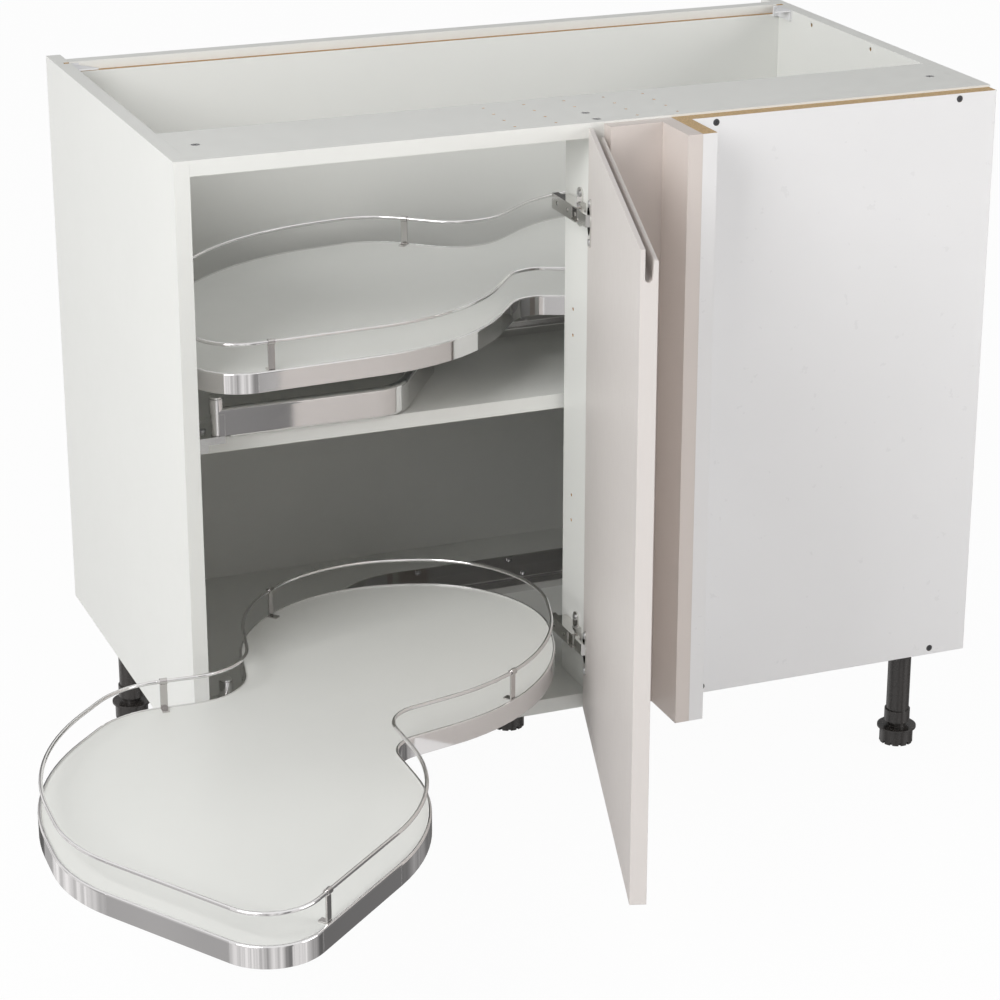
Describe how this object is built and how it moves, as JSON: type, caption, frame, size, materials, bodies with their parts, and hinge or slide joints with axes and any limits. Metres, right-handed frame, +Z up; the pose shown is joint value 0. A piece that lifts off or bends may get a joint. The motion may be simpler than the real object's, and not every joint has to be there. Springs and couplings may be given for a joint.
{
  "type": "corner carousel cabinet",
  "caption": "Blind-corner kitchen base unit on legs, with a hinged front door and kidney-shaped trays on swing arms that carry stored goods out of the corner.",
  "frame": {"origin": "floor under the centre of the carcass, which is the underside of the centre leg's foot", "axes": "+X to the right along the front, +Y to the back, +Z up"},
  "size_m": [1.2516, 1.1918, 0.87],
  "materials": {
    "white_board": "white melamine-faced chipboard, fine pearl texture",
    "front_white_board": "white melamine-faced chipboard with raw top edge",
    "cashmere_board": "cashmere painted board, matt",
    "deck_board": "light grey melamine-faced board",
    "chrome_metal": "polished chrome plate",
    "nickel_steel": "nickel plated steel",
    "fitting_steel": "zinc plated",
    "zinc_steel": "zinc plated sheet",
    "black_plastic": "moulded black plastic",
    "white_plastic": "moulded white plastic",
    "black_screw": "black zinc"
  },
  "bodies": {
    "carcass": {"side_panel_left": "white_board", "side_panel_right": "white_board", "bottom_panel": "white_board", "mid_shelf": "white_board", "back_panel": "white_board", "rear_rail": "white_board", "front_rail": "white_board", "mid_post": "white_board", "blank_panel": "front_white_board", "return_panel": "front_white_board", "corner_post_front": "cashmere_board", "corner_post_side": "cashmere_board", "corner_brackets": "white_plastic", "rail_cams": "fitting_steel", "post_screws": "fitting_steel", "blank_screws": "black_screw", "hinge_plates": "nickel_steel", "hinge_plate_screws": "fitting_steel", "hinge_arms": "nickel_steel", "leg_sockets": "black_plastic", "leg_tubes": "black_plastic", "leg_adjusters": "black_plastic", "upper_guide": "chrome_metal", "lower_guide": "chrome_metal", "upper_bracket": "chrome_metal", "lower_bracket": "chrome_metal", "swing_base_screws": "fitting_steel"},
    "door": {"door_panel": "cashmere_board", "hinge_cups": "nickel_steel", "hinge_cup_screws": "fitting_steel", "hinge_links": "nickel_steel"},
    "upper_swing": {"upper_arm": "chrome_metal", "upper_turn_pin": "fitting_steel"},
    "upper_tray": {"upper_deck": "deck_board", "upper_band": "chrome_metal", "upper_wire": "chrome_metal", "upper_rail_posts": "chrome_metal", "upper_turntable": "zinc_steel", "upper_deck_screws": "fitting_steel"},
    "lower_swing": {"lower_arm": "chrome_metal", "lower_turn_pin": "fitting_steel"},
    "lower_tray": {"lower_deck": "deck_board", "lower_band": "chrome_metal", "lower_wire": "chrome_metal", "lower_rail_posts": "chrome_metal", "lower_turntable": "zinc_steel", "lower_deck_screws": "fitting_steel"}
  },
  "joints": [
    {"name": "door_hinge", "type": "hinge", "parent": "carcass", "child": "door", "pos_m": [-0.0088, -0.3005, 0.35], "axis": [0, 0, 1], "range_deg": [-9, 35]},
    {"name": "upper_arm_swing", "type": "hinge", "parent": "carcass", "child": "upper_swing", "pos_m": [-0.4355, -0.192, 0.519], "axis": [0, 0, 1], "range_deg": [-14, 0]},
    {"name": "upper_tray_turn", "type": "hinge", "parent": "upper_swing", "child": "upper_tray", "pos_m": [-0.1054, -0.0629, 0.557], "axis": [0, 0, 1], "range_deg": [-1, 30]},
    {"name": "lower_arm_swing", "type": "hinge", "parent": "carcass", "child": "lower_swing", "pos_m": [-0.4355, -0.192, 0.168], "axis": [0, 0, 1], "range_deg": [0, 16]},
    {"name": "lower_tray_turn", "type": "hinge", "parent": "lower_swing", "child": "lower_tray", "pos_m": [-0.4345, -0.54646, 0.206], "axis": [0, 0, 1], "range_deg": [-3, 1]}
  ],
  "couplings": [
    {"joint": "upper_tray_turn", "follows": "upper_arm_swing", "ratio": -2},
    {"joint": "lower_tray_turn", "follows": "lower_arm_swing", "ratio": -0.1}
  ]
}
